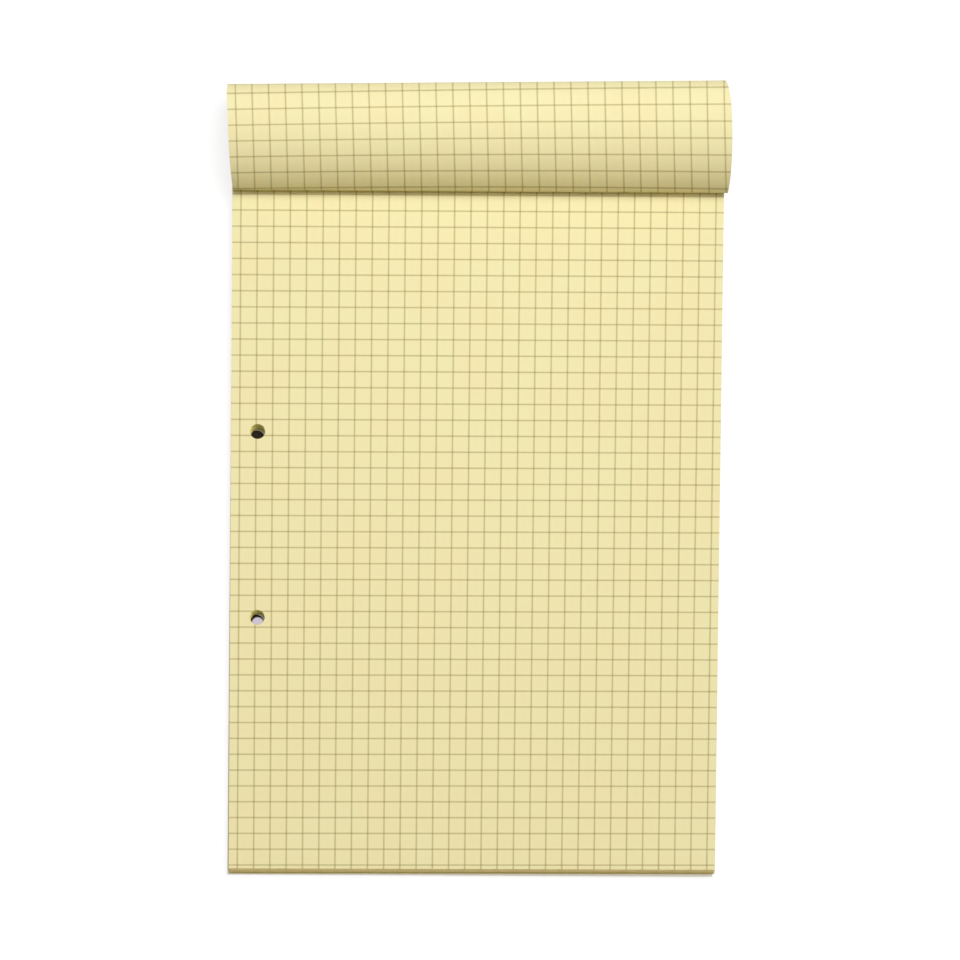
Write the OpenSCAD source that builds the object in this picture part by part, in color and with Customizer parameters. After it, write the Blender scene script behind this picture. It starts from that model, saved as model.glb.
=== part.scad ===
// A4 refill pad, lying on a table with its cover and first sheets turned over the head.
// +X is to the right of the page, +Y towards the head, +Z up, and Z = 0 is the table.

/* [Sheets] */
// Width of a sheet
sheet_w = 210; // [148:1:230]
// Length of a sheet from head to foot
sheet_l = 297; // [240:1:330]
// Thickness of the block of unturned sheets
block_t = 8; // [4:0.5:14]

/* [Punched holes] */
// Diameter of a punched hole
hole_d = 6.5; // [5:0.1:8]
// Distance between the two holes
hole_pitch = 80; // [70:1:90]
// Distance from the left edge to the hole centres
hole_edge = 11.6; // [9:0.1:16]

/* [Lean of the stack] */
// How far the lowest sheet lies nearer the foot than the top one
lean_foot = 2.4; // [0:0.1:4]
// How far the lowest sheet lies further left than the top one
lean_left = 0.5; // [0:0.1:1]
// How much further than that the lowest sheet reaches at the foot
foot_fan = 1.2; // [0:0.1:2]

/* [Backing board] */
// Thickness of the board
board_t = 1; // [0.6:0.1:2]
// How much longer the board is than a sheet
board_longer = 1.65; // [0:0.05:3]
// How much wider the board is than a sheet
board_wider = 1.4; // [0:0.1:2]
// How far the board is turned clockwise under the block, in degrees
board_turn = 0.13; // [0:0.01:0.3]
// How far the board has slipped to the foot from under the lowest sheet
slip_foot = 0.6; // [0:0.1:2]
// How far the head of the board has slipped to the right from under the lowest sheet
slip_right = 0.7; // [0:0.1:1]

/* [Turned leaves] */
// Thickness of the turned sheets together
turned_t = 0.4; // [0.2:0.1:1]
// Thickness of the card cover
cover_t = 0.3; // [0.2:0.05:0.6]
// Air between the turned sheets and the cover
leaf_gap = 0.02; // [0.01:0.01:0.2]
// How far the turned leaves lie flat on the block before they fold, at the left edge of the sheet
stub_left = 2.5; // [0.8:0.1:8]
// How far they lie flat at the right edge
stub_right = 1.1; // [0.8:0.1:8]
// Radius of the fold at the foot side of the roll
fold_r = 4; // [1.4:0.1:6]
// Radius of the roll's crown at the left edge of the sheet
crown_left = 28.7; // [22:0.1:36]
// Radius of the roll's crown at the right edge of the sheet
crown_right = 31; // [22:0.1:36]
// Slope of the leaves where the fold runs into the crown
rise_angle = 64; // [55:1:75]
// Slope of the leaves where the crown runs into the head side of the roll
fall_angle = 10; // [5:1:40]
// How far the roll slants to the right at its foot side and to the left at its head side
leaf_drift = 1.3; // [1.2:0.1:3]

/* [Binding] */
// Thickness of the glue on the head
glue_t = 0.5; // [0.3:0.1:1.5]
// How far the glue stops short of the sides
glue_inset = 2; // [1.6:0.1:4]

/* [Hidden] */
$fn = 64;
// Angle between two stations of the roll, and what a cut reaches past the solid
station_step = 5;
cut_past = 2;

// Levels of the stack from the table up
cover_depth = turned_t + leaf_gap;
leaves_t = cover_depth + cover_t;
board_z = leaves_t;
block_z = board_z + board_t;
top_z = block_z + block_t;

// The roll's sizes across the sheet, from u = 0 at its left edge to u = 1 at its right.
// The head radius is the one that lets the leaves land flat on the table.
function stub_l(u) = stub_left + (stub_right - stub_left) * u;
function crown_r(u) = crown_left + (crown_right - crown_left) * u;
function head_r(u) =
    (top_z + fold_r + (fold_r - crown_r(u)) * cos(rise_angle) + crown_r(u) * cos(fall_angle))
    / (1 + cos(fall_angle));

// Centres of the roll's three arcs in Y and Z, with Y from the head of the top sheet
function fold_centre(u) = [-stub_l(u), top_z + fold_r];
function crown_centre(u) = fold_centre(u) + (fold_r - crown_r(u)) * [-sin(rise_angle), cos(rise_angle)];
function head_centre(u) = crown_centre(u) + (crown_r(u) - head_r(u)) * [sin(fall_angle), cos(fall_angle)];

// Half the board's width, and its length
board_half_w = (sheet_w + board_wider) / 2;
board_l = sheet_l + board_longer;

// How far the roll and the board reach from the top sheet's head, and its place in Y that centres the pad
roll_reach = max([for (u = [0, 1]) head_centre(u)[0] + head_r(u)]);
board_reach = lean_foot + slip_foot + board_l * cos(board_turn) + board_half_w * sin(board_turn);
head_y = (board_reach - roll_reach) / 2;
low_head_y = head_y - lean_foot;
board_head_y = low_head_y - slip_foot;
board_x = slip_right - lean_left / 2;

// Distances of the hole centres from the head edge of a sheet, and their place across it
hole_steps = [(sheet_l - hole_pitch) / 2, (sheet_l + hole_pitch) / 2];
hole_x = hole_edge - sheet_w / 2;

function radians(angle) = angle * PI / 180;

// Length of paper from the head edge to the end of the roll, at a depth inside its outer face
function roll_length(u, depth) =
    stub_l(u) + (fold_r - depth) * radians(180 - rise_angle)
    + (crown_r(u) - depth) * radians(rise_angle + fall_angle)
    + (head_r(u) - depth) * radians(180 - fall_angle);

// Where a point at a length of paper from the head lies in Y, on the flat stretch under the pad
function under_y(u, depth, length) = head_y + head_centre(u)[0] - (length - roll_length(u, depth));

// Headings of the stations round one arc of the roll, after its first
function headings(from, to) =
    let (count = ceil((from - to) / station_step))
    [for (i = [1:count]) from - (from - to) * i / count];

// Points of one arc as [heading, y, z]
function arc_stations(centre, radius, from, to) =
    [for (h = headings(from, to)) [h, head_y + centre[0] - radius * sin(h), centre[1] + radius * cos(h)]];

// All stations along a leaf, at a depth inside the roll's outer face
function leaf_stations(u, depth, middle) = concat(
    [[180, head_y, top_z + depth], [180, head_y - stub_l(u), top_z + depth]],
    arc_stations(fold_centre(u), fold_r - depth, 180, rise_angle),
    arc_stations(crown_centre(u), crown_r(u) - depth, rise_angle, -fall_angle),
    arc_stations(head_centre(u), head_r(u) - depth, -fall_angle, -180),
    [[-180, under_y(u, middle, sheet_l), depth]]
);

// A station's place in space, at u across the sheet
function leaf_point(station, u) = [(u - 0.5) * sheet_w + leaf_drift * sin(station[0]), station[1], station[2]];

// A leaf or a few leaves that lie together, rolled over the head, between two depths in the roll
module rolled_leaf(outer, inner) {
    middle = (outer + inner) / 2;
    rails = [for (depth = [outer, inner], u = [0, 1])
        [for (station = leaf_stations(u, depth, middle)) leaf_point(station, u)]];
    count = len(rails[0]);
    points = [for (rail = rails, point = rail) point];
    // Corners of the section at a station: outer left, outer right, inner right, inner left
    corners = [0, count, 3 * count, 2 * count];
    walls = [for (i = [0:count - 2], c = [0:3])
        [corners[c] + i, corners[c] + i + 1, corners[(c + 1) % 4] + i + 1, corners[(c + 1) % 4] + i]];
    first = [for (c = [0:3]) corners[c]];
    last = [for (c = [3:-1:0]) corners[c] + count - 1];
    polyhedron(points, concat(walls, [first, last]), convexity = 6);
}

// The two holes that a turned leaf was punched with, where they lie under the pad
module leaf_holes(depth) {
    for (step = hole_steps)
        translate([hole_x, under_y(hole_edge / sheet_w, depth, step), -cut_past])
            cylinder(d = hole_d, h = leaves_t + 2 * cut_past);
}

// The two holes straight through the block and the board, where a sheet halfway down the stack has them
module pad_holes() {
    for (step = hole_steps)
        translate([hole_x, head_y - lean_foot / 2 - step, -cut_past])
            cylinder(d = hole_d, h = top_z + 2 * cut_past);
}

// An outline in Y and Z drawn along X
module across(width) {
    rotate([90, 0, 90]) linear_extrude(height = width, center = true) children();
}

// An outline in X and Z drawn along Y
module along(length) {
    rotate([90, 0, 0]) linear_extrude(height = length, center = true) children();
}

// The leaning stack of unturned sheets
module page_block() {
    half_w = sheet_w / 2;
    half_lean = lean_left / 2;
    foot_y = head_y - sheet_l;
    color([0.95, 0.90, 0.68])
    difference() {
        intersection() {
            across(sheet_w + 2 * lean_left + cut_past) polygon([
                [low_head_y, block_z], [head_y, top_z], [foot_y, top_z], [foot_y - lean_foot - foot_fan, block_z]
            ]);
            along(2 * (sheet_l + roll_reach)) polygon([
                [-half_w - half_lean, block_z], [half_w - half_lean, block_z],
                [half_w + half_lean, top_z], [-half_w + half_lean, top_z]
            ]);
        }
        pad_holes();
    }
}

// A corner of the turned board, at a distance to the right of the middle of its head and up from it
function board_corner(right, up) = [
    board_x + right * cos(board_turn) + up * sin(board_turn),
    board_head_y - right * sin(board_turn) + up * cos(board_turn)
];

// The stiff board under the block, slipped to the foot and turned a little, with its head cut straight
module backing_board() {
    head_half_w = board_half_w / cos(board_turn);
    color([0.66, 0.62, 0.54])
    difference() {
        translate([0, 0, board_z]) linear_extrude(height = board_t) polygon([
            [board_x - head_half_w, board_head_y], [board_x + head_half_w, board_head_y],
            board_corner(board_half_w, -board_l), board_corner(-board_half_w, -board_l)
        ]);
        pad_holes();
    }
}

// The first sheets, turned back over the head, round the roll and under the pad
module turned_sheets() {
    color([0.96, 0.91, 0.70])
    difference() {
        rolled_leaf(0, turned_t);
        leaf_holes(turned_t / 2);
    }
}

// The card cover, turned over with the sheets on the inside of the roll
module front_cover() {
    color([0.17, 0.17, 0.18])
    difference() {
        rolled_leaf(cover_depth, leaves_t);
        leaf_holes(cover_depth + cover_t / 2);
    }
}

// The padding glue that joins leaves, block and board along the head
module head_glue() {
    color([0.93, 0.92, 0.87])
    across(sheet_w - 2 * glue_inset) polygon([
        [board_head_y, board_z], [board_head_y, block_z], [low_head_y, block_z],
        [head_y, top_z], [head_y, top_z + leaves_t],
        [head_y + glue_t, top_z + leaves_t], [head_y + glue_t, top_z],
        [low_head_y + glue_t, block_z], [low_head_y + glue_t, board_z]
    ]);
}

page_block();
backing_board();
turned_sheets();
front_cover();
head_glue();
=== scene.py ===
"""Looks of the refill pad: the ruled stack, the leaves turned over its head, the board and the glue.

Lengths of the pad are in millimetres until a mesh is made, and those of the stage and the lamps are in
metres. The frame says where each piece lies.
"""

import math
import random
from itertools import product
from typing import NamedTuple

import bpy
from mathutils import Matrix, Vector, noise


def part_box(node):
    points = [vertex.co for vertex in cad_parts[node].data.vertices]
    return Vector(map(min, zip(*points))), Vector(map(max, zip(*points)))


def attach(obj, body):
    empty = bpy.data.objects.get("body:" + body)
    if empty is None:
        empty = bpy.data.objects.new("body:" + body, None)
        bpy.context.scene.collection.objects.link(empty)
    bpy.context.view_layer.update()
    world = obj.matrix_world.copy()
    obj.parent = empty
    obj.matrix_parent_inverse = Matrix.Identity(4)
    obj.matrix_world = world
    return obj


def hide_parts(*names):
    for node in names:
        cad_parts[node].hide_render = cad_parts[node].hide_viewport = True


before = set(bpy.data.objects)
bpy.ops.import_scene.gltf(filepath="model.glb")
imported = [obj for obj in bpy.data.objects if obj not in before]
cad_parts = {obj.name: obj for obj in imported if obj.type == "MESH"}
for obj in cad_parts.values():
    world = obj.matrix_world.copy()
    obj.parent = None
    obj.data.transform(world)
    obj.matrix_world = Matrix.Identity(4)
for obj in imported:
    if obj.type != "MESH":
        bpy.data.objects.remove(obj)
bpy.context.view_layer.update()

MM = 0.001


def node_box(node):
    """Lowest and highest corner of a CAD node, in millimetres."""
    low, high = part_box(node)
    return low / MM, high / MM


# Sheet, holes and lean of the stack, as in the part's source
SHEET_W = 210.0
SHEET_L = 297.0
HOLE_R = 3.25
HOLE_EDGE = 11.6
HOLE_STEPS = (108.5, 188.5)
LEAN_FOOT = 2.4
LEAN_LEFT = 0.5
FOOT_FAN = 1.2

# Where the photograph shows the two holes of a flat sheet, from its left edge and from its head
PUNCHED = ((11.3, 108.8), (11.6, 188.5))

# Board, as in the part's source
BOARD_W = SHEET_W + 1.4
BOARD_L = SHEET_L + 1.65
BOARD_TURN = math.radians(0.13)
BOARD_X = 0.45

# The roll, as in the part's source, with sizes at the left and the right edge of the leaf
STUB_L = (2.5, 1.1)
CROWN_R = (28.7, 31.0)
FOLD_R = 4.0
RISE = math.radians(64)
FALL = math.radians(10)
LEAF_DRIFT = 1.3
TURNED_T = 0.4
COVER_DEPTH = 0.42
COVER_T = 0.3

# Where the CAD pieces lie
BLOCK_LOW, BLOCK_HIGH = node_box("page_block")
BOARD_LOW, BOARD_HIGH = node_box("backing_board")
GLUE_LOW, GLUE_HIGH = node_box("head_glue")
HEAD_Y = BLOCK_HIGH.y
TOP_Z = BLOCK_HIGH.z

# The camera that the page's corners, edges and holes in the photograph give
CAMERA_PLACE = Vector((-27.69, 38.274, 950))
CAMERA_TURN = (-0.039693, -0.031045, 0.009951)
CAMERA_LENS = 82.27
CAMERA_SENSOR = 36

# The stack: its sheets, the share of their pitch that is paper, how far each lies or is turned out of line,
# the ledges in its lean, and how much further to the right the lowest sheet reaches
SHEET_COUNT = 80
SHEET_FILL = 0.9
STACK_SEED = 4
STACK_JITTER = 0.06
STACK_TURN = math.radians(0.1)
TURN_JITTER = math.radians(0.05)
PRINT_JITTER = 0.9
LEDGES = 3
LEDGE_DEPTH = 0.75
SIDE_FAN = 0.8

# The turned leaves from the outermost in, the detail of their meshes, and how far the cover stays inside them
LEAF_COUNT = 4
LEAF_DRIFTS = (1.3, 1.15, 1.25, 1.05)
LEAF_ENDS = (0.0, 0.5, -0.2, 0.3)
LEAF_STEP = math.radians(3)
LEAF_COLUMNS = 18
COVER_INSET = 1.0

# The ruling: lines across a sheet, the size of a square, how far the first lines are from the edges, and how
# much nearer the head a line is at the right edge than at the left, at the page's head and foot
LINE_COUNT = 30
SQUARE_LONG = 6.852
FRONT_FIRST = 3.7
FRONT_LAST = SHEET_W - 3.35
FRONT_HEAD = 0.92
FRONT_SLANT = (1.46, 0.56)
FRONT_SQUARE = (FRONT_LAST - FRONT_FIRST) / (LINE_COUNT - 1)

# The ruling on the roll: where its lines meet the crease, how far apart they are and their slant. Then, at
# the left edge, the middle and the right edge, how far they bow, the squares up to the roll's head side and
# the part of a square below the crease. The ruling takes at least a share of the paper's length where the
# roll is steep, and all of it past a heading on the head side.
ROLL_FIRST = -102.4
ROLL_SQUARE = 7.186
ROLL_SLANT = 0.034
ROLL_BOW = (-0.024, 0.13, -0.03)
ROLL_SQUARES = (6.68, 6.74, 6.62)
CREASE_SQUARE = (0.08, 0.28, 0.235)
STEEPEST_RUN = 0.35
HEAD_TURN = math.radians(-58)

# Mesh detail round the holes: points of a ring, half a cell's side, and the column of cells with the holes
HOLE_POINTS = 32
HOLE_CELL = 6.0
HOLE_COLUMN = 1

# Kinds of faces, in the order of a piece's materials
PRINT_KIND = 0
EDGE_KIND = 1
RIM_KIND = 2

# Angles from which an edge is shaded as a sharp one
SHEET_SHARP = math.radians(40)
GLUE_SHARP = math.radians(50)


class Spot(NamedTuple):
    """A corner of a sheet's mesh: its place, and where that is on the ruling, in squares."""

    place: Vector
    squares: tuple


class Sheets:
    """Collects punched sheets into one mesh."""

    def __init__(self):
        self.spots = []
        self.faces = []
        self.kinds = []

    def corner(self, spot):
        """Adds a corner and returns its number."""
        self.spots.append(spot)
        return len(self.spots) - 1

    def face(self, corners, kind):
        """Adds a face of a kind: printed paper, an edge, or the rim of a hole."""
        self.faces.append(corners)
        self.kinds.append(kind)

    def add(self, upper, lower, holes, kinds=(PRINT_KIND, PRINT_KIND)):
        """Adds a sheet from the spots of its two faces, in rows from the head and left to right.

        holes gives the middles of a hole on the upper and the lower face, by its cell's row and column,
        and kinds are those of the sheet's faces away from the holes and next to them.
        """
        top = [[self.corner(spot) for spot in row] for row in upper]
        low = [[self.corner(spot) for spot in row] for row in lower]
        for row, column in product(range(len(top) - 1), range(len(top[0]) - 1)):
            top_cell = cell_corners(top, row, column)
            low_cell = cell_corners(low, row, column)
            if (row, column) in holes:
                self.punch(top_cell, low_cell, holes[row, column], kinds[1])
            else:
                self.face(top_cell, kinds[0])
                self.face(low_cell[::-1], kinds[0])
        self.wall(top[0], low[0])
        self.wall(top[-1][::-1], low[-1][::-1])
        self.wall([row[0] for row in top][::-1], [row[0] for row in low][::-1])
        self.wall([row[-1] for row in top], [row[-1] for row in low])

    def wall(self, top, low, kind=EDGE_KIND):
        """Adds the edge faces between two runs of corners."""
        for i in range(len(top) - 1):
            self.face([top[i], top[i + 1], low[i + 1], low[i]], kind)

    def punch(self, top_cell, low_cell, middles, kind):
        """Adds a cell with a round hole, as four faces round it and the hole's wall."""
        top_ring, low_ring = ([self.corner(spot) for spot in hole_ring(middle)] for middle in middles)
        quarter = HOLE_POINTS // 4
        for side in range(4):
            after = (side + 1) % 4
            start = quarter // 2 + side * quarter
            arc = [(start + quarter - k) % HOLE_POINTS for k in range(quarter + 1)]
            self.face([top_cell[side], top_cell[after]] + [top_ring[k] for k in arc], kind)
            low_face = [low_cell[side], low_cell[after]] + [low_ring[k] for k in arc]
            self.face(low_face[::-1], kind)
        self.wall(top_ring + top_ring[:1], low_ring + low_ring[:1], max(kind, EDGE_KIND))


def cell_corners(grid, row, column):
    """Corners of a cell, anticlockwise from the head end of its right side."""
    return [grid[row][column + 1], grid[row][column], grid[row + 1][column], grid[row + 1][column + 1]]


def hole_ring(middle):
    """Spots round a hole, anticlockwise from the right."""
    ring = []
    for k in range(HOLE_POINTS):
        angle = math.tau * k / HOLE_POINTS
        out = Vector((HOLE_R * math.cos(angle), HOLE_R * math.sin(angle), 0))
        squares = (middle.squares[0] + out.x / FRONT_SQUARE, middle.squares[1] - out.y / SQUARE_LONG)
        ring.append(Spot(middle.place + out, squares))
    return ring


def make_piece(name, places, faces, node, materials, sharp):
    """Makes a mesh piece that rides on the part and stands for a CAD node."""
    mesh = bpy.data.meshes.new(name)
    mesh.from_pydata([place * MM for place in places], [], faces)
    mesh.shade_smooth()
    mesh.set_sharp_from_angle(angle=sharp)
    for material in materials:
        mesh.materials.append(material)
    piece = bpy.data.objects.new(name, mesh)
    bpy.context.scene.collection.objects.link(piece)
    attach(piece, "root")
    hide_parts(node)
    return piece


def make_sheets(name, sheets, node, materials):
    """Makes a piece of punched sheets, with the ruling's squares as its UV map."""
    places = [spot.place for spot in sheets.spots]
    piece = make_piece(name, places, sheets.faces, node, materials, SHEET_SHARP)
    mesh = piece.data
    mesh.polygons.foreach_set("material_index", sheets.kinds)
    layer = mesh.uv_layers.new(name="ruling")
    for loop in mesh.loops:
        layer.uv[loop.index].vector = sheets.spots[loop.vertex_index].squares


def between(ends, share):
    """A size at a share of the way from one end to the other."""
    return ends[0] + (ends[1] - ends[0]) * share


def flat_sheet(sheets, size, levels, place, print_shift=0, printed=True):
    """Adds a flat punched sheet.

    size is its width and length, levels are its upper and lower Z, place turns across and along into X and
    Y, and print_shift is how far its ruling is off to the left. A sheet that isn't printed shows only round
    its edges and holes.
    """
    columns = (0, HOLE_EDGE - HOLE_CELL, HOLE_EDGE + HOLE_CELL, size[0])
    rows = [0]
    for step in HOLE_STEPS:
        rows += [step - HOLE_CELL, step + HOLE_CELL]
    rows.append(size[1])

    def spot(across, along, z):
        slanted = along - FRONT_HEAD + between(FRONT_SLANT, along / SHEET_L) * across / SHEET_W
        squares = ((across + print_shift - FRONT_FIRST) / FRONT_SQUARE, slanted / SQUARE_LONG)
        return Spot(Vector((*place(across, along), z)), squares)

    faces = [[[spot(across, along, z) for across in columns] for along in rows] for z in levels]
    middles = {}
    for k, (across, along) in enumerate(PUNCHED):
        middles[1 + 2 * k, HOLE_COLUMN] = [spot(across, along, z) for z in levels]
    kinds = (PRINT_KIND, PRINT_KIND) if printed else (EDGE_KIND, RIM_KIND)
    sheets.add(*faces, middles, kinds)


def stacked_sheets():
    """The unturned sheets, which lean to the foot and the left in ledges, each a little off the next."""
    rng = random.Random(STACK_SEED)
    sheets = Sheets()
    pitch = (BLOCK_HIGH.z - BLOCK_LOW.z) / SHEET_COUNT
    for i in range(SHEET_COUNT):
        depth = 1 - i / (SHEET_COUNT - 1)
        ledge = math.tau * LEDGES * depth
        lean = depth - LEDGE_DEPTH * math.sin(ledge) / (math.tau * LEDGES)
        jitter = 0 if depth == 0 else 1
        shift_x = LEAN_LEFT * (0.5 - lean) + jitter * rng.uniform(-STACK_JITTER, STACK_JITTER)
        shift_y = HEAD_Y - LEAN_FOOT * lean + jitter * rng.uniform(-STACK_JITTER, STACK_JITTER)
        turn = Matrix.Rotation(STACK_TURN * depth + jitter * rng.uniform(-TURN_JITTER, TURN_JITTER), 2)

        def place(across, along):
            return turn @ Vector((across - SHEET_W / 2, -along)) + Vector((shift_x, shift_y))

        z_high = BLOCK_LOW.z + pitch * (i + 1)
        size = (SHEET_W + SIDE_FAN * lean, SHEET_L + FOOT_FAN * lean)
        print_shift = jitter * rng.uniform(-PRINT_JITTER, PRINT_JITTER)
        flat_sheet(sheets, size, (z_high, z_high - pitch * SHEET_FILL), place, print_shift, depth == 0)
    return sheets


def board_sheet():
    """The backing board, turned a little, with its head cut straight and its holes further to the foot."""
    sheets = Sheets()

    def place(across, along):
        right = across - BOARD_W / 2
        foot_share = along / BOARD_L
        x = BOARD_X + right - along * math.sin(BOARD_TURN)
        return Vector((x, BOARD_HIGH.y - along - right * foot_share * math.sin(BOARD_TURN)))

    flat_sheet(sheets, (BOARD_W, BOARD_L), (BOARD_HIGH.z, BOARD_LOW.z), place)
    return sheets


class Arc(NamedTuple):
    """One arc of the roll: its centre in Y and Z, its radius, and its first and last heading."""

    centre: Vector
    radius: float
    start: float
    end: float


def bowed(values, u):
    """A size at u across the leaf, from its values at the left edge, in the middle and at the right edge."""
    left, middle, right = values
    return left * (1 - u) * (1 - 2 * u) + middle * 4 * u * (1 - u) + right * u * (2 * u - 1)


def roll_arcs(u):
    """The roll's fold, crown and head arcs at u across the leaf."""
    crown = between(CROWN_R, u)
    rise = TOP_Z + FOLD_R + (FOLD_R - crown) * math.cos(RISE)
    head = (rise + crown * math.cos(FALL)) / (1 + math.cos(FALL))
    fold_centre = Vector((HEAD_Y - between(STUB_L, u), TOP_Z + FOLD_R))
    crown_centre = fold_centre + (FOLD_R - crown) * Vector((-math.sin(RISE), math.cos(RISE)))
    head_centre = crown_centre + (crown - head) * Vector((math.sin(FALL), math.cos(FALL)))
    return [
        Arc(fold_centre, FOLD_R, math.pi, RISE),
        Arc(crown_centre, crown, RISE, -FALL),
        Arc(head_centre, head, -FALL, -math.pi),
    ]


def leaf_end_y(u, depth, length):
    """Where a length of paper from the head ends in Y, on the flat stretch under the pad."""
    arcs = roll_arcs(u)
    roll_length = between(STUB_L, u) + sum((arc.radius - depth) * (arc.start - arc.end) for arc in arcs)
    return arcs[-1].centre.x - (length - roll_length)


def leaf_stations(u, depth, flat_ys):
    """Stations along a leaf as heading, y and z, from the head round the roll and along the flat stretch."""
    stub_z = TOP_Z + depth
    stations = [(math.pi, HEAD_Y, stub_z), (math.pi, HEAD_Y - between(STUB_L, u), stub_z)]
    for arc in roll_arcs(u):
        count = math.ceil((arc.start - arc.end) / LEAF_STEP)
        radius = arc.radius - depth
        for i in range(1, count + 1):
            heading = arc.start - (arc.start - arc.end) * i / count
            y = arc.centre.x - radius * math.sin(heading)
            stations.append((heading, y, arc.centre.y + radius * math.cos(heading)))
    stations += [(-math.pi, y, depth) for y in flat_ys]
    return stations


def seen_level(place):
    """Where a place comes to lie on the level of the top sheet, seen from the camera's place."""
    share = (CAMERA_PLACE.z - TOP_Z) / (CAMERA_PLACE.z - place.z)
    return CAMERA_PLACE.xy + (place.xy - CAMERA_PLACE.xy) * share


def leaf_spots(across, depth, drift, flat_ys):
    """Spots along one line of a leaf.

    The photograph's lines on the roll are straight and even from above, so from the crease to the turn at
    its head side the squares are laid out as they are seen from there, and before and after it they follow
    the paper.
    """
    u = across / SHEET_W
    stations = leaf_stations(u, depth, flat_ys)
    x = across - SHEET_W / 2
    places = [Vector((x + drift * math.sin(heading), y, z)) for heading, y, z in stations]
    paper = [(there - here).length for here, there in zip(places, places[1:])]
    quarter = math.pi / 2 + LEAF_STEP / 2
    on_roll = [k for k, station in enumerate(stations) if abs(station[0]) < quarter]
    first, last = on_roll[0], on_roll[-1]
    seen = [seen_level(places[k]) for k in on_roll]
    runs = [0]
    for k in range(1, len(seen)):
        least = 1 if stations[first + k][0] < HEAD_TURN else STEEPEST_RUN
        runs.append(runs[-1] + max(seen[k].y - seen[k - 1].y, least * paper[first + k - 1]))
    middle = len(seen) // 2
    steep_run = runs[middle] - (seen[middle].y - seen[0].y)
    square_run = (max(point.y for point in seen) - seen[0].y) / bowed(ROLL_SQUARES, u)
    spots = []
    for k, place in enumerate(places):
        near = min(max(k, first), last) - first
        slant_x = seen[near].x + ROLL_SLANT * (seen[near].y - seen[0].y)
        off_roll = sum(paper[last:k]) - sum(paper[k:first])
        squares_long = (runs[near] - steep_run) / square_run + off_roll / SQUARE_LONG
        squares_across = (slant_x - ROLL_FIRST) / ROLL_SQUARE + bowed(ROLL_BOW, u)
        spots.append(Spot(place, (squares_across, squares_long - bowed(CREASE_SQUARE, u))))
    return spots


def rolled_leaf(sheets, outer, inner, drift, shift_end, left_edge=0):
    """Adds one leaf that is turned over the head, round the roll and under the pad, between two depths."""
    middle = (outer + inner) / 2
    rest = SHEET_W - HOLE_EDGE - HOLE_CELL
    columns = [left_edge, HOLE_EDGE - HOLE_CELL]
    columns += [HOLE_EDGE + HOLE_CELL + rest * i / LEAF_COLUMNS for i in range(LEAF_COLUMNS + 1)]
    hole_ys = [leaf_end_y(HOLE_EDGE / SHEET_W, middle, step) for step in HOLE_STEPS]
    cell_ys = [y for hole_y in hole_ys for y in (hole_y + HOLE_CELL, hole_y - HOLE_CELL)]

    def face(depth):
        lines = []
        for across in columns:
            end_y = leaf_end_y(across / SHEET_W, middle, SHEET_L) + shift_end
            lines.append(leaf_spots(across, depth, drift, cell_ys + [end_y]))
        return [list(row) for row in zip(*lines)]

    upper, lower = face(inner), face(outer)
    first_cell = len(upper) - len(cell_ys) - 1
    holes = {}
    for k, hole_y in enumerate(hole_ys):
        middles = [leaf_spots(HOLE_EDGE, depth, drift, [hole_y])[-1] for depth in (inner, outer)]
        holes[first_cell + 2 * k, HOLE_COLUMN] = middles
    sheets.add(upper, lower, holes)


def turned_leaves():
    """The turned sheets, the outermost first, each a little out of line with the next."""
    sheets = Sheets()
    pitch = TURNED_T / LEAF_COUNT
    for i in range(LEAF_COUNT):
        outer = pitch * (i + (1 - SHEET_FILL) / 2)
        rolled_leaf(sheets, outer, outer + pitch * SHEET_FILL, LEAF_DRIFTS[i], LEAF_ENDS[i])
    return sheets


def cover_leaf():
    """The card cover on the inside of the roll."""
    sheets = Sheets()
    rolled_leaf(sheets, COVER_DEPTH, COVER_DEPTH + COVER_T, LEAF_DRIFT, 0, COVER_INSET)
    return sheets


# The glue: its mesh detail along the head and down it, its least share of the full thickness, and the size
# of its ripples
GLUE_STATIONS = 90
GLUE_LEVELS = 7
GLUE_THIN = 0.45
GLUE_RIPPLE = 9.0


def glue_strip(material):
    """The dried glue along the head, thicker in some places than in others."""
    glue_t = GLUE_HIGH.y - HEAD_Y
    low_head = Vector((HEAD_Y - LEAN_FOOT, BLOCK_LOW.z))
    top_head = Vector((HEAD_Y, TOP_Z))
    leaf_head = Vector((HEAD_Y, GLUE_HIGH.z))
    inside = [
        Vector((BOARD_HIGH.y, GLUE_LOW.z)),
        Vector((BOARD_HIGH.y, BLOCK_LOW.z)),
        low_head,
        top_head,
        leaf_head,
    ]
    outside = [leaf_head, top_head]
    outside += [top_head.lerp(low_head, i / GLUE_LEVELS) for i in range(1, GLUE_LEVELS + 1)]
    outside.append(Vector((low_head.x, GLUE_LOW.z)))
    places = []
    for i in range(GLUE_STATIONS + 1):
        x = GLUE_LOW.x + (GLUE_HIGH.x - GLUE_LOW.x) * i / GLUE_STATIONS
        places += [Vector((x, *point)) for point in inside]
        for y, z in outside:
            ripple = 0.5 + 0.5 * noise.noise(Vector((x, z, 0)) / GLUE_RIPPLE)
            places.append(Vector((x, y + glue_t * between((GLUE_THIN, 1), ripple), z)))
    ring = len(inside) + len(outside)
    faces = [list(range(ring)), list(range(ring * GLUE_STATIONS, ring * (GLUE_STATIONS + 1)))[::-1]]
    for i, k in product(range(GLUE_STATIONS), range(ring)):
        here = i * ring
        there = here + ring
        after = (k + 1) % ring
        faces.append([here + k, there + k, there + after, here + after])
    make_piece("glue_strip", places, faces, "head_glue", [material], GLUE_SHARP)


WHITE = (1, 1, 1, 1)

# The range that most of a noise's values lie in, and a share that rises or falls along a ramp
NOISE = (0.3, 0.7)
RISING = (0.0, 1.0)
FALLING = (1.0, 0.0)


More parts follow.
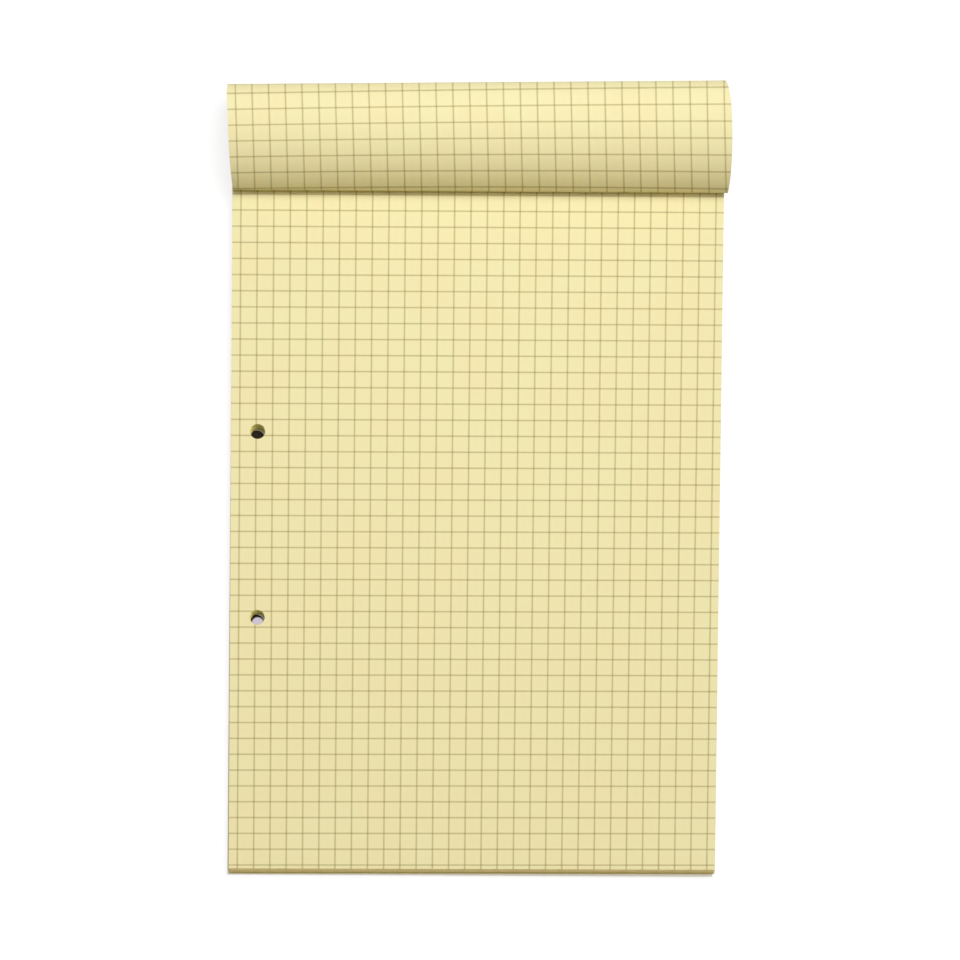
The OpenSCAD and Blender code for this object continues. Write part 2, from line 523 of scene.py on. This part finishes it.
class Nodes:
    """A node tree, with short calls to add its nodes."""

    def __init__(self, tree):
        self.tree = tree

    def add(self, kind, inputs=None, **settings):
        """Adds a node with its settings, and links or sets its inputs."""
        node = self.tree.nodes.new(kind)
        for name, value in settings.items():
            setattr(node, name, value)
        self.feed(node, inputs or {})
        return node

    def feed(self, node, inputs):
        """Links or sets inputs of a node."""
        for name, value in inputs.items():
            if isinstance(value, bpy.types.NodeSocket):
                self.tree.links.new(value, node.inputs[name])
            else:
                node.inputs[name].default_value = value

    def calculate(self, operation, first, second):
        """Adds a calculation with two values."""
        return self.add("ShaderNodeMath", {0: first, 1: second}, operation=operation).outputs[0]

    def spread(self, value, source, target):
        """Adds a smooth ramp of a value from one range to another."""
        inputs = {"Value": value}
        inputs["From Min"], inputs["From Max"] = source
        inputs["To Min"], inputs["To Max"] = target
        return self.add("ShaderNodeMapRange", inputs, interpolation_type="SMOOTHSTEP").outputs[0]

    def mix(self, share, first, second):
        """Adds a mix of two colours."""
        return self.add("ShaderNodeMix", {0: share, 6: first, 7: second}, data_type="RGBA").outputs[2]

    def place(self):
        """Adds the place in the object's own coordinates."""
        return self.add("ShaderNodeTexCoord").outputs["Object"]

    def height(self, vector):
        """Adds the Z of a vector."""
        return self.add("ShaderNodeSeparateXYZ", {0: vector}).outputs["Z"]

    def grain(self, scale, detail=3.0, stretch=None):
        """Adds noise in the object's own coordinates, with cells of 1/scale metres."""
        place = self.place()
        if stretch:
            place = self.add("ShaderNodeMapping", {"Vector": place, "Scale": stretch}).outputs[0]
        return self.add("ShaderNodeTexNoise", {"Vector": place, "Scale": scale, "Detail": detail}).outputs[0]

    def cloud(self, scale, detail=3.0):
        """Adds soft patches of noise, from 0 to 1."""
        return self.spread(self.grain(scale, detail), NOISE, RISING)

    def shown_share(self):
        """Adds Light Path's share of rays that show the background: camera, glossy and transmission rays."""
        path = self.add("ShaderNodeLightPath").outputs
        share = path["Is Camera Ray"]
        for name in ("Is Glossy Ray", "Is Transmission Ray"):
            share = self.calculate("MAXIMUM", share, path[name])
        return share


class Finish(Nodes):
    """One material's node tree."""

    def __init__(self, name):
        self.material = bpy.data.materials.new(name)
        self.material.use_nodes = True
        super().__init__(self.material.node_tree)
        self.shader = self.tree.nodes["Principled BSDF"]

    def surface(self, colour, roughness, specular=0.5):
        """Sets the surface's colour, roughness and specular level."""
        inputs = {"Base Color": colour, "Roughness": roughness, "Specular IOR Level": specular}
        self.feed(self.shader, inputs)

    def bump(self, height, depth, strength):
        """Gives the surface a fine relief."""
        inputs = {"Height": height, "Distance": depth * MM, "Strength": strength}
        self.feed(self.shader, {"Normal": self.add("ShaderNodeBump", inputs).outputs[0]})


# Paper: its two tints and its roughness, its cut edges with their streaks, the painted shade on the edges of
# the lowest sheets with the heights over which it fades out, and the walls of the holes, painted lighter as
# painted light
PAPER_WARM = (0.905, 0.806, 0.448, 1)
PAPER_COOL = (0.886, 0.818, 0.458, 1)
PAPER_ROUGH = (0.84, 0.94)
EDGE_LIGHT = (0.93, 0.78, 0.37, 1)
EDGE_DARK = (0.86, 0.72, 0.33, 1)
# Painted shade: the edges of the lowest sheets are darker, where shade falls between the block and the board
EDGE_PAINTED_SHADE = (0.60, 0.50, 0.15, 1)
EDGE_SHADE_END = (1.2, 2.6)
STREAKS = (0.35, 0.65)
STREAK_STRETCH = (0.6, 0.6, 120)
# Painted light: the hole walls are a lighter, more saturated copy of the cut edge, standing in for light
# reaching them
PAINTED_LIT_RIM_LIGHT = (0.97, 0.90, 0.34, 1)
PAINTED_LIT_RIM_DARK = (0.90, 0.80, 0.24, 1)

# The printed lines: their ink, width and blur, how much of the paper they cover, how much of that is left
# where the print is weak, and how much they show at the cut edges
INK = (0.25, 0.19, 0.02, 1)
LINE_W = 0.6
LINE_BLUR = 0.25
INK_SHARE = 0.5
INK_WEAK = 0.9
TICK_SHARE = 0.15

# Cover card: its face and the core at its cut edge
CARD_DARK = (0.019, 0.015, 0.010, 1)
CARD_LIGHT = (0.028, 0.022, 0.015, 1)
CARD_ROUGH = (0.5, 0.62)
CORE_DARK = (0.10, 0.095, 0.085, 1)
CORE_LIGHT = (0.20, 0.19, 0.17, 1)

# Board: its pulp, fibres and specks, and the painted light that makes its faces pointing up paler
PULP_DARK = (0.52, 0.46, 0.32, 1)
PULP_LIGHT = (0.62, 0.56, 0.42, 1)
PULP_ROUGH = (0.86, 0.97)
FIBRE_LIGHT = (0.72, 0.66, 0.52, 1)
FIBRES = (0.52, 0.72)
FIBRE_SHARES = (0.0, 0.5)
FIBRE_STRETCH = (1, 0.25, 1)
SPECK_DARK = (0.20, 0.17, 0.12, 1)
SPECK_SCALE = 420.0
SPECK_R = (0.06, 0.14)
SPECK_SHARE = 0.5
BOARD_PAINTED_LIGHT = (0.90, 0.87, 0.76, 1)
PAINTED_LIGHT_SLOPES = (0.5, 0.8)
PAINTED_LIGHT_SHARES = (0.0, 0.9)

# Glue: its two shades and its roughness
GLUE_DARK = (0.78, 0.75, 0.64, 1)
GLUE_LIGHT = (0.86, 0.84, 0.76, 1)
GLUE_ROUGH = (0.3, 0.45)


def ruling_light(finish, ink_share):
    """How much of the paper's colour the lines across and along leave, least where they cross."""
    squares = finish.add("ShaderNodeUVMap", uv_map="ruling").outputs[0]
    split = finish.add("ShaderNodeSeparateXYZ", {0: squares})
    uneven = finish.spread(finish.grain(scale=260), NOISE, (ink_share * INK_WEAK, ink_share))
    half = LINE_W / 2 / SQUARE_LONG
    blur = LINE_BLUR / SQUARE_LONG
    left = []
    for way in ("X", "Y"):
        off_line = finish.calculate("PINGPONG", split.outputs[way], 0.5)
        line = finish.spread(off_line, (half - blur, half + blur), FALLING)
        left.append(finish.calculate("SUBTRACT", 1.0, finish.calculate("MULTIPLY", line, uneven)))
    return finish.calculate("MULTIPLY", *left)


def paper_finish():
    """Uncoated tinted paper with its printed squares."""
    finish = Finish("ruled_paper")
    fibre = finish.grain(scale=1500, detail=4.0)
    paper = finish.mix(finish.cloud(scale=55, detail=2.0), PAPER_WARM, PAPER_COOL)
    printed = finish.mix(ruling_light(finish, INK_SHARE), INK, paper)
    finish.surface(printed, finish.spread(fibre, NOISE, PAPER_ROUGH), specular=0.15)
    finish.bump(fibre, depth=0.02, strength=0.25)
    return finish.material


def paper_edge_finish(name, dark, light):
    """Cut edges of the sheets, streaked sheet by sheet, with the ends of the lines as faint ticks.

    The lowest sheets of the stack are darker next to the board, a painted shade where the block meets it.
    """
    finish = Finish(name)
    streak = finish.spread(finish.grain(scale=40, stretch=STREAK_STRETCH), STREAKS, RISING)
    # Painted shade: the edges turn darker towards the block's lowest level, next to the board
    shade_heights = [(BLOCK_LOW.z + end) * MM for end in EDGE_SHADE_END]
    painted_shade_share = finish.spread(finish.height(finish.place()), shade_heights, FALLING)
    edge = finish.mix(painted_shade_share, finish.mix(streak, dark, light), EDGE_PAINTED_SHADE)
    ticked = finish.mix(ruling_light(finish, TICK_SHARE), INK, edge)
    finish.surface(ticked, roughness=0.95, specular=0.1)
    finish.bump(finish.grain(scale=900), depth=0.03, strength=0.3)
    return finish.material


def card_finish():
    """Smooth dark cover card."""
    finish = Finish("dark_card")
    fibre = finish.grain(scale=1200, detail=4.0)
    card = finish.mix(finish.cloud(scale=90), CARD_DARK, CARD_LIGHT)
    finish.surface(card, finish.spread(fibre, NOISE, CARD_ROUGH), specular=0.12)
    finish.bump(fibre, depth=0.02, strength=0.2)
    return finish.material


def card_edge_finish():
    """Cut edge of the cover, where the card's core shows."""
    finish = Finish("card_edge")
    fibre = finish.grain(scale=1500)
    finish.surface(finish.mix(fibre, CORE_DARK, CORE_LIGHT), roughness=0.9)
    finish.bump(fibre, depth=0.03, strength=0.3)
    return finish.material


def board_finish():
    """Rough grey recycled board with light fibres and dark specks, and faces pointing up painted paler, as
    painted light.
    """
    finish = Finish("greyboard")
    fibre = finish.grain(scale=700, detail=5.0, stretch=FIBRE_STRETCH)
    cells = finish.add("ShaderNodeTexVoronoi", {"Vector": finish.place(), "Scale": SPECK_SCALE})
    speck = finish.spread(cells.outputs["Distance"], SPECK_R, FALLING)
    ground = finish.mix(finish.cloud(scale=120, detail=4.0), PULP_DARK, PULP_LIGHT)
    fibred = finish.mix(finish.spread(fibre, FIBRES, FIBRE_SHARES), ground, FIBRE_LIGHT)
    speckled = finish.mix(finish.calculate("MULTIPLY", speck, SPECK_SHARE), fibred, SPECK_DARK)
    # Painted light: faces that point up are paler, as if lit from above
    upward = finish.height(finish.add("ShaderNodeNewGeometry").outputs["True Normal"])
    painted_lit = finish.mix(finish.spread(upward, PAINTED_LIGHT_SLOPES, PAINTED_LIGHT_SHARES), speckled, BOARD_PAINTED_LIGHT)
    finish.surface(painted_lit, finish.spread(fibre, NOISE, PULP_ROUGH), specular=0.15)
    finish.bump(fibre, depth=0.05, strength=0.5)
    return finish.material


def glue_finish():
    """Dried white padding glue, a little glossy."""
    finish = Finish("padding_glue")
    glue = finish.mix(finish.cloud(scale=180), GLUE_DARK, GLUE_LIGHT)
    finish.surface(glue, finish.spread(finish.grain(scale=500), NOISE, GLUE_ROUGH))
    finish.bump(finish.grain(scale=350), depth=0.08, strength=0.4)
    return finish.material


# The floor: its size and its gap under the pad, its own glow with the light that it shows, and what it throws
# back on the pad
FLOOR_REACH = 20.0
FLOOR_DROP = 0.05 * MM
FLOOR_GLOW = 0.80
FLOOR_LIT = 0.26
FLOOR_BOUNCE = 0.7

# The floor under the pad, with a painted pool of light: a glowing spot where light falls through the lower
# hole, dark round it
UNDER_INSET = 3 * MM
UNDER_GLOW = 0.60
UNDER_LIT = 0.03
UNDER_COLOUR = (1.0, 0.88, 1.0, 1)
PAINTED_LIGHT_SPOT = (-0.0936, -0.0621, 0)
PAINTED_LIGHT_SPOT_R = (2.1 * MM, 2.9 * MM)

# The sky's brightest direction, the cosine at which its light ends, and its strength
SKY_MIDDLE = (0.10, 0.30, 0.95)
SKY_EDGE = 0.75
SKY_HIGH = 1.35


def grey_diffuse(finish, level):
    """Adds a matt grey surface to a floor's tree."""
    return finish.add("ShaderNodeBsdfDiffuse", {"Color": (level, level, level, 1)}).outputs[0]


def floor_material(name, lit, glow, colour=WHITE, light_spot_r=None):
    """Pale floor that shows as white where light falls on it, and keeps the pad's shadow.

    Its own glow is even, or ends between two radii round the spot under the lower hole, a painted pool of
    light.
    """
    finish = Finish(name)
    # Painted light: the glow is limited to a spot where light through the lower hole would fall
    if light_spot_r:
        ends = {0: finish.place(), 1: PAINTED_LIGHT_SPOT}
        off_spot = finish.add("ShaderNodeVectorMath", ends, operation="DISTANCE")
        glow = finish.spread(off_spot.outputs["Value"], light_spot_r, (glow, 0.0))
    own_light = finish.add("ShaderNodeEmission", {"Color": colour, "Strength": glow}).outputs[0]
    shown = finish.add("ShaderNodeAddShader", {0: grey_diffuse(finish, lit), 1: own_light}).outputs[0]
    choices = {0: finish.shown_share(), 1: grey_diffuse(finish, FLOOR_BOUNCE), 2: shown}
    surface = finish.add("ShaderNodeMixShader", choices).outputs[0]
    finish.feed(finish.tree.nodes["Material Output"], {"Surface": surface})
    finish.tree.nodes.remove(finish.shader)
    return finish.material


def add_floor():
    """The table, which isn't part of the object, with a patch under the pad that the lower hole shows,
    glowing in a painted pool of light.
    """
    inner_x = (BOARD_LOW.x * MM + UNDER_INSET, BOARD_HIGH.x * MM - UNDER_INSET)
    inner_y = (BOARD_LOW.y * MM + UNDER_INSET, BOARD_HIGH.y * MM - UNDER_INSET)
    outer = (-FLOOR_REACH, FLOOR_REACH)
    mesh = bpy.data.meshes.new("floor")
    corners = [(x[a], y[b], -FLOOR_DROP) for x, y in ((outer, outer), (inner_x, inner_y))
               for a, b in ((0, 0), (1, 0), (1, 1), (0, 1))]
    sides = [(k, (k + 1) % 4, (k + 1) % 4 + 4, k + 4) for k in range(4)]
    mesh.from_pydata(corners, [], sides + [(4, 5, 6, 7)])
    mesh.materials.append(floor_material("floor", FLOOR_LIT, FLOOR_GLOW))
    mesh.materials.append(floor_material("floor_under", UNDER_LIT, UNDER_GLOW, UNDER_COLOUR, PAINTED_LIGHT_SPOT_R))
    mesh.polygons[len(sides)].material_index = 1
    floor = bpy.data.objects.new("floor", mesh)
    bpy.context.scene.collection.objects.link(floor)


def add_world():
    """Ambient light that is strongest above the head side, and white behind the floor's edge."""
    world = bpy.data.worlds.new("studio")
    bpy.context.scene.world = world
    world.use_nodes = True
    nodes = Nodes(world.node_tree)
    way = nodes.add("ShaderNodeTexCoord").outputs["Generated"]
    near_middle = nodes.add("ShaderNodeVectorMath", {0: way, 1: SKY_MIDDLE}, operation="DOT_PRODUCT")
    sky = nodes.spread(near_middle.outputs["Value"], (SKY_EDGE, 1.0), (0.0, SKY_HIGH))
    strength = nodes.spread(nodes.shown_share(), (0.0, 1.0), (sky, 1.0))
    nodes.feed(world.node_tree.nodes["Background"], {"Color": WHITE, "Strength": strength})


# The broad key light: its tilt to the head, its lean to the right, its strength and how wide it looks
SUN_TILT = math.radians(21.5)
SUN_RIGHT = 0.18
SUN_STRENGTH = 1.58
SUN_ANGLE = math.radians(31)

# The nearer lamp above the head
HEAD_LAMP_POWER = 0.77
HEAD_LAMP_SIZE = 0.2
HEAD_LAMP_PLACE = Vector((0.05, 0.24, 0.55))
HEAD_LAMP_TARGET = Vector((0, 0.08, 0))

# The weak warm fill from the foot, like light that the page throws on the roll
FILL_UP = Vector((0.0, -0.98, 0.2))
FILL_STRENGTH = 0.34
FILL_ANGLE = math.radians(30)
FILL_COLOUR = (1.0, 0.78, 0.25)


def add_lamp(name, kind, place, target, **settings):
    """Adds a lamp at a place, turned to a target, with its settings."""
    data = bpy.data.lights.new(name, kind)
    for setting, value in settings.items():
        setattr(data, setting, value)
    lamp = bpy.data.objects.new(name, data)
    lamp.location = place
    lamp.rotation_euler = (target - place).to_track_quat("-Z", "Y").to_euler()
    bpy.context.scene.collection.objects.link(lamp)


def add_lights():
    """A broad soft light from above the head, a nearer one that fades towards the foot, and a low fill."""
    sun_up = Vector((SUN_RIGHT, math.sin(SUN_TILT), math.cos(SUN_TILT)))
    middle = Vector()
    add_lamp("soft_key", "SUN", sun_up, middle, energy=SUN_STRENGTH, angle=SUN_ANGLE)
    add_lamp("head_lamp", "AREA", HEAD_LAMP_PLACE, HEAD_LAMP_TARGET,
             energy=HEAD_LAMP_POWER, size=HEAD_LAMP_SIZE)
    add_lamp("foot_fill", "SUN", FILL_UP, middle,
             energy=FILL_STRENGTH, angle=FILL_ANGLE, color=FILL_COLOUR)


def add_camera():
    """The photograph's view, from above the pad."""
    data = bpy.data.cameras.new("camera")
    data.lens = CAMERA_LENS
    data.sensor_width = CAMERA_SENSOR
    camera = bpy.data.objects.new("camera", data)
    camera.location = CAMERA_PLACE * MM
    camera.rotation_euler = CAMERA_TURN
    bpy.context.scene.collection.objects.link(camera)
    bpy.context.scene.camera = camera


def main():
    """Builds the pieces, the stage, the lights and the camera."""
    paper = [paper_finish(), paper_edge_finish("paper_edge", EDGE_DARK, EDGE_LIGHT)]
    # The walls of the holes get a lighter copy of the edge finish, as painted light
    stack = paper + [paper_edge_finish("hole_rim_painted_light", PAINTED_LIT_RIM_DARK, PAINTED_LIT_RIM_LIGHT)]
    make_sheets("page_stack", stacked_sheets(), "page_block", stack)
    make_sheets("turned_leaves", turned_leaves(), "turned_sheets", paper)
    make_sheets("cover", cover_leaf(), "front_cover", [card_finish(), card_edge_finish()])
    board = board_finish()
    make_sheets("board", board_sheet(), "backing_board", [board, board])
    glue_strip(glue_finish())
    add_floor()
    add_world()
    add_lights()
    add_camera()
    bpy.context.scene.view_settings.view_transform = "Standard"


main()
